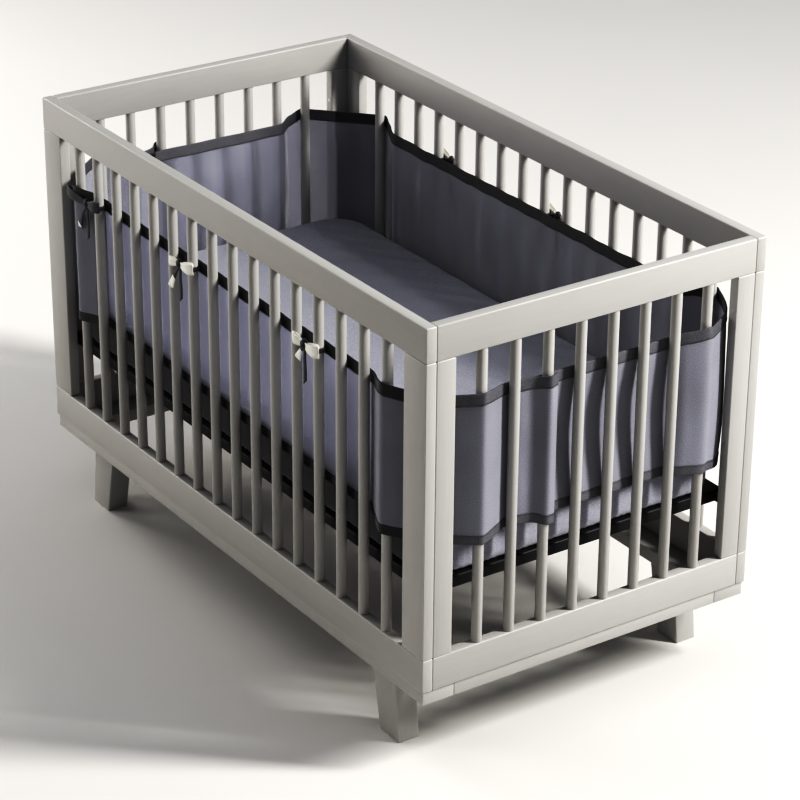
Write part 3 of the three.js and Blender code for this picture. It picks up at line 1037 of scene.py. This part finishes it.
def binding(name, edge, columns, seed):
    """A tape folded over an edge of the panel."""
    if edge == "top":
        def low(column):
            return upper_edge(column, seed) - BINDING["height"]

        def high(column):
            return upper_edge(column, seed)
    else:
        def low(column):
            return lower_edge(column, seed)

        def high(column):
            return lower_edge(column, seed) + BINDING["bottom_height"]

    bm = bent_grid(columns, TAPE_ROWS, low, high, seed, tape_pucker(seed))
    # Painted sheen on the short ends, as the tape's paler colour there
    painted_sheen = bm.verts.layers.float.new("painted_sheen")
    for vert in bm.verts:
        vert[painted_sheen] = painted_sheen_of(vert.co)
    node = f"binding_{name}_{edge}"
    made = piece(f"{node}_tape", bm, [BINDING_SATIN], [node], smooth=75)
    thicken(made, BINDING["thickness"])
    rounding = made.modifiers.new("folded_edge", "BEVEL")
    rounding.width = FOLD["round"]
    rounding.segments = 2
    rounding.limit_method = "ANGLE"
    rounding.angle_limit = math.radians(FOLD["angle"])
    return made


STITCH = {"length": 2.7 * MM, "width": 0.7 * MM, "inset": 2.5 * MM, "raise": 0.15 * MM}


def stitching(name, columns, seed):
    """Rows of stitches through both bindings, one to a column, on both faces of the panel."""
    bm = bmesh.new()
    for column, after in zip(columns, columns[1:]):
        heights = (
            upper_edge(column, seed) - BINDING["height"] + STITCH["inset"],
            lower_edge(column, seed) + BINDING["bottom_height"] - STITCH["inset"],
        )
        for z in heights:
            spot = on_cloth(column, z, seed)
            ahead = on_cloth(after, z, seed)
            heading = (ahead - spot).normalized()
            across = Vector((heading.y, -heading.x, 0)).normalized()
            turn = Matrix((heading, across, Vector((0, 0, 1)))).transposed().to_4x4()
            for face_side in (-1, 1):
                middle = spot + across * face_side * (BINDING["thickness"] / 2 + STITCH["raise"])
                size = Matrix.Diagonal((STITCH["length"], STITCH["width"], STITCH["width"], 1.0))
                bmesh.ops.create_cube(bm, size=1.0, matrix=Matrix.Translation(middle) @ turn @ size)
    return piece(f"liner_{name}_stitching", bm, [THREAD], smooth=30)


def liner(name, knots, seed):
    columns = columns_of(knots)
    cloth = liner_cloth(name, columns, seed)
    trims = [binding(name, edge, columns, seed) for edge in ("top", "bottom")]
    trims.append(stitching(name, columns, seed))
    height = CLOTH_TOP - CLOTH_BOTTOM - BINDING["height"] - BINDING["bottom_height"] + 2 * TUCKED
    return cloth, trims, (height, columns[-1].distance)


# Ties: ribbons in a side's own frame, u along the side, v up and w outwards from the spindle's axis,
# all in millimetres. A bow's loop has its reach, rise, depth, width and tone, and a strip turns pale from
# a share of its length on
DARK, PALE = 0, 1
Loop = namedtuple("Loop", "reach rise depth width tone")
Strip = namedtuple("Strip", "path tone cut lean pale_from", defaults=(0.0, 0.0, 1.0))
TIE_Z = CLOTH_TOP - BINDING["height"] / 2
RING = {"radius": 11.6, "width": 9}
RIBBON_SHAPE = {"thickness": 0.8 * MM, "cup": 0.9 * MM, "cup_level": 0.4}
RIBBON_GRID = {"steps": 6, "rows": 4, "step_length": 2 * MM}
KNOT_U = -28
KNOT_W = 12.6
KNOT_SIZE = (7.5, 12, 6)
KNOT_TURNS = [(0, (1.0, 1.0, 1.0)), (62, (0.86, 0.86, 1.12))]
KNOT_LUMPS = {"scale": 260, "depth": 0.9 * MM}


def ribbon_strip(bm, frame_matrix, strip):
    """A ribbon along a smooth path. Each path point is u, v, w and the ribbon's width there."""
    points = [Vector(p[:3]) * MM for p in strip.path]
    widths = [p[3] * MM for p in strip.path] + [0]
    line = []
    for point, position in smooth_line(points, RIBBON_GRID["steps"]):
        i = int(position)
        share = position - i
        line.append((point, widths[i] * (1 - share) + widths[i + 1] * share))
    uv_layer = bm.loops.layers.uv.get("UVMap") or bm.loops.layers.uv.new("UVMap")
    last = len(line) - 1
    grid = bmesh.ops.create_grid(bm, x_segments=last, y_segments=RIBBON_GRID["rows"], size=1.0, calc_uvs=True)
    flat = {}
    upright = Matrix.Rotation(strip.lean, 3, "Z") @ Vector((0, 1, 0))
    for vert in grid["verts"]:
        index = round((vert.co.x + 1) / 2 * last)
        side = vert.co.y
        spot, width = line[index]
        ahead = line[min(index + 1, last)][0]
        behind = line[max(index - 1, 0)][0]
        heading = (ahead - behind).normalized()
        across = (upright - heading * upright.dot(heading)).normalized()
        face_normal = heading.cross(across)
        cupped = face_normal * (RIBBON_SHAPE["cup"] * (side * side - RIBBON_SHAPE["cup_level"]))
        slant = heading * strip.cut * MM * side if index == last else Vector()
        place = spot + across * side * width / 2 + cupped + slant
        flat[vert] = (index * RIBBON_GRID["step_length"], side * width / 2)
        vert.co = frame_matrix @ place
    pale_start = strip.pale_from * last * RIBBON_GRID["step_length"]
    faces = {face for vert in grid["verts"] for face in vert.link_faces}
    for face in faces:
        along = sum(flat[vert][0] for vert in face.verts) / len(face.verts)
        face.material_index = PALE if along > pale_start else strip.tone
    lay_flat(faces, uv_layer, flat)


def loop_path(loop):
    """A bow loop from the knot out to its end and back."""
    reach, rise, depth, width, _ = loop
    sign = 1 if reach > 0 else -1
    return [
        (KNOT_U + sign * 2, 1, KNOT_W + 1, width * 0.4),
        (KNOT_U + reach * 0.35, rise * 0.4, KNOT_W + depth * 0.7, width * 0.75),
        (KNOT_U + reach * 0.75, rise * 0.8, KNOT_W + depth, width),
        (KNOT_U + reach, rise, KNOT_W + depth * 0.35, width),
        (KNOT_U + reach * 0.78, rise * 0.9, KNOT_W - depth * 0.25, width * 0.95),
        (KNOT_U + reach * 0.35, rise * 0.4, KNOT_W - depth * 0.2, width * 0.7),
        (KNOT_U + sign * 2, -1, KNOT_W - 1, width * 0.4),
    ]


def ring_path():
    """Round the spindle from the knot and back to it."""
    radius, width = RING["radius"], RING["width"]
    points = [(KNOT_U + 3, 0, KNOT_W - 1, width * 0.8)]
    for degrees in range(150, -181, -30):
        angle = math.radians(degrees)
        points.append((radius * math.sin(angle), 0, radius * math.cos(angle), width))
    return points


def knot_ball(bm, frame_matrix):
    """The knot: two crossed turns of ribbon pulled tight."""
    start = Matrix.Translation(Vector((KNOT_U, 0, KNOT_W)) * MM)
    centre = frame_matrix @ (Vector((KNOT_U, 0, KNOT_W)) * MM)
    for degrees, share in KNOT_TURNS:
        turn = Matrix.Rotation(math.radians(degrees), 4, "Z")
        grow = Matrix.Diagonal((*[size * part for size, part in zip(KNOT_SIZE, share)], 1.0))
        bmesh.ops.create_uvsphere(
            bm, u_segments=18, v_segments=12, radius=MM, matrix=frame_matrix @ start @ turn @ grow
        )
    for vert in bm.verts:
        push = noise.noise(vert.co * KNOT_LUMPS["scale"]) * KNOT_LUMPS["depth"]
        vert.co += (vert.co - centre).normalized() * push


def tie(name, side, spindle, strips):
    """A ribbon tied round one spindle."""
    x, y = SIDES[side]["at"](LONG_PLACES[spindle])
    along, out = SIDES[side]["along"], SIDES[side]["out"]
    turn = Matrix(((*along, 0), (0, 0, 1), (*out, 0))).transposed().to_4x4()
    frame_matrix = Matrix.Translation((x, y, TIE_Z)) @ turn
    bm = bmesh.new()
    bm.loops.layers.uv.new("UVMap")
    for strip in [Strip(ring_path(), DARK), *strips]:
        ribbon_strip(bm, frame_matrix, strip)
    made = piece(name + "_ribbon", bm, [RIBBON_DARK, RIBBON_CREAM], [name], smooth=60)
    thicken(made, RIBBON_SHAPE["thickness"])
    balls = bmesh.new()
    knot_ball(balls, frame_matrix)
    ball = piece(name + "_knot", balls, [RIBBON_DARK, RIBBON_CREAM], smooth=70)
    return [made, ball]


def bow(loops, tails):
    """The strips of a bow: its two loops and its free ends."""
    return [Strip(loop_path(loop), loop.tone) for loop in loops] + tails


def short_tail(reach=1.0, pale_from=0.5):
    """A free end that stands off to the side and widens to its slanting pale tip."""
    path = [
        (KNOT_U - 2, -6, KNOT_W + 1, 5),
        (KNOT_U - 12 * reach, -22 * reach, KNOT_W + 3, 8),
        (KNOT_U - 25 * reach, -42 * reach, KNOT_W + 2, 14),
        (KNOT_U - 37 * reach, -60 * reach, KNOT_W, 20),
    ]
    return Strip(path, DARK, 5.0, math.radians(58), pale_from)


def long_tail():
    """A free end that hangs straight down."""
    path = [
        (KNOT_U + 1, -6, KNOT_W - 1, 7),
        (KNOT_U + 2, -26, KNOT_W + 1, 9),
        (KNOT_U, -50, KNOT_W - 1, 10),
        (KNOT_U + 3, -74, KNOT_W + 1, 10),
    ]
    return Strip(path, DARK, 4.0, math.radians(88))


def ties():
    made = []
    mid = bow([Loop(-36, -3, 6, 17, PALE), Loop(54, 7, 8, 21, PALE)], [short_tail(), long_tail()])
    right = bow([Loop(-36, 4, 6, 20, PALE), Loop(52, 4, 8, 23, PALE)], [short_tail(0.6, 0.3), long_tail()])
    left = bow([Loop(-78, 6, 6, 22, DARK), Loop(56, 10, 8, 22, DARK)], [short_tail(1.0, 0.85), long_tail()])
    for name, side, spindle, strips in (
        ("tie_front_left", "front", 1, left),
        ("tie_front_mid", "front", 6, mid),
        ("tie_front_right", "front", 12, right),
        ("tie_back_right", "back", 2, mid),
        ("tie_back_mid", "back", 7, mid),
        ("tie_back_left", "back", 12, mid),
    ):
        made += tie(name, side, spindle, strips)
    return made


# Camera, at the photograph's viewing angle: its place in metres, angles in radians, lens in millimetres
CAMERA_PLACE = (4.2761, -2.8834, 2.8486)
CAMERA_YAW = 0.9708
CAMERA_PITCH = 0.4473
CAMERA_ROLL = 0.008
CAMERA_LENS = 129.9
CAMERA_SENSOR = 36.0


def camera():
    level = Vector((math.cos(CAMERA_YAW), math.sin(CAMERA_YAW), 0))
    ahead = Vector((-math.sin(CAMERA_YAW), math.cos(CAMERA_YAW), 0))
    forward = ahead * math.cos(CAMERA_PITCH) - Vector((0, 0, math.sin(CAMERA_PITCH)))
    rise = level.cross(forward)
    right = math.cos(CAMERA_ROLL) * level + math.sin(CAMERA_ROLL) * rise
    up = -math.sin(CAMERA_ROLL) * level + math.cos(CAMERA_ROLL) * rise
    data = bpy.data.cameras.new("camera")
    data.lens = CAMERA_LENS
    data.sensor_width = CAMERA_SENSOR
    data.clip_end = 100.0
    made = bpy.data.objects.new("camera", data)
    made.matrix_world = Matrix.Translation(CAMERA_PLACE) @ Matrix((right, up, -forward)).transposed().to_4x4()
    bpy.context.scene.collection.objects.link(made)
    bpy.context.scene.camera = made


# Light and floor, in metres, degrees and watts
KEY = {"azimuth": 42, "elevation": 37, "distance": 6.0, "width": 0.7, "height": 2.6, "power": 575}
FILL = {"azimuth": -128, "elevation": 14, "distance": 5.0, "width": 1.8, "height": 2.4, "power": 88}
LEFT_FILL = {"azimuth": -168, "elevation": 16, "distance": 5.0, "width": 2.0, "height": 2.0, "power": 120}
LIGHT_AIM = (0, 0, 0.6)
FLOOR_COLOUR = (0.67, 0.66, 0.64)
SKY = (0.93, 0.95, 1.0)
SKY_LOW = 0.06
SKY_OVERHEAD = 0.5
BACKDROP = (0.80, 0.80, 0.79)
FLOOR_HALF = 8.0
LAYERS_SEEN_THROUGH = 24


def pale_floor():
    material, tree, shader = new_material("pale_floor")
    place = coordinates(tree, "Object")
    tone = mottled(tree, place, scale=2.0, depth=0.04)
    tree.links.new(times(tree, FLOOR_COLOUR, tone), shader.inputs["Base Color"])
    shader.inputs["Roughness"].default_value = 0.9
    return material


def soft_box(name, place, colour):
    """A rectangular light that faces the crib's middle."""
    azimuth, elevation = math.radians(place["azimuth"]), math.radians(place["elevation"])
    ahead = Vector((math.cos(azimuth), math.sin(azimuth), 0))
    towards = ahead * math.cos(elevation) + Vector((0, 0, math.sin(elevation)))
    data = bpy.data.lights.new(name, "AREA")
    data.shape = "RECTANGLE"
    data.size = place["width"]
    data.size_y = place["height"]
    data.energy = place["power"]
    data.color = colour
    lamp = bpy.data.objects.new(name, data)
    lamp.location = Vector(LIGHT_AIM) + towards * place["distance"]
    lamp.rotation_mode = "QUATERNION"
    lamp.rotation_quaternion = (-towards).to_track_quat("-Z", "Y")
    bpy.context.scene.collection.objects.link(lamp)


# Tone curve: scene light in, light out. Shadows are deepened as in the photograph
COMBINED = 3
GAMMA = 0.8
TONES = [(0.0, 0.0), (0.15, 0.075), (0.28, 0.20), (0.42, 0.39), (0.7, 0.71), (1.0, 1.0)]


def deepen_shadows():
    settings = bpy.context.scene.view_settings
    settings.view_transform = "Standard"
    settings.gamma = GAMMA
    settings.use_curve_mapping = True
    curve = settings.curve_mapping.curves[COMBINED]
    curve.points[0].location = TONES[0]
    curve.points[-1].location = TONES[-1]
    for point in TONES[1:-1]:
        curve.points.new(*point)
    settings.curve_mapping.update()


def floor():
    bm = bmesh.new()
    bmesh.ops.create_grid(bm, x_segments=1, y_segments=1, size=FLOOR_HALF)
    mesh = bpy.data.meshes.new("floor")
    bm.to_mesh(mesh)
    bm.free()
    mesh.materials.append(pale_floor())
    made = bpy.data.objects.new("floor", mesh)
    bpy.context.scene.collection.objects.link(made)


def sky():
    """A weak sky, brightest overhead, and a pale backdrop that only the camera sees."""
    world = bpy.data.worlds.new("studio")
    bpy.context.scene.world = world
    world.use_nodes = True
    tree = world.node_tree
    background = tree.nodes["Background"]
    background.inputs["Color"].default_value = (*SKY, 1.0)
    direction = add(tree, "ShaderNodeSeparateXYZ")
    tree.links.new(coordinates(tree, "Generated"), direction.inputs[0])
    overhead = math_node(tree, "MAXIMUM", direction.outputs["Z"], 0.0)
    strength = math_node(tree, "MULTIPLY_ADD", overhead, SKY_OVERHEAD, SKY_LOW)
    tree.links.new(strength, background.inputs["Strength"])
    backdrop = add(tree, "ShaderNodeBackground")
    backdrop.inputs["Color"].default_value = (*BACKDROP, 1.0)
    seen = add(tree, "ShaderNodeMixShader")
    tree.links.new(add(tree, "ShaderNodeLightPath").outputs["Is Camera Ray"], seen.inputs[0])
    tree.links.new(background.outputs[0], seen.inputs[1])
    tree.links.new(backdrop.outputs[0], seen.inputs[2])
    tree.links.new(seen.outputs[0], tree.nodes["World Output"].inputs["Surface"])


camera()
floor()
soft_box("key", KEY, (1.0, 0.985, 0.96))
soft_box("fill", FILL, (1.0, 0.97, 0.93))
soft_box("left_fill", LEFT_FILL, (1.0, 0.98, 0.95))
sky()
deepen_shadows()
bpy.context.scene.cycles.transparent_max_bounces = LAYERS_SEEN_THROUGH
crib()
inserts()
support()
bed = mattress()
front_cloth, front_trims, front_flat = liner("front", FRONT_PANEL, 1.0)
back_cloth, back_trims, back_flat = liner("back", BACK_PANEL, 5.0)
bows = ties()
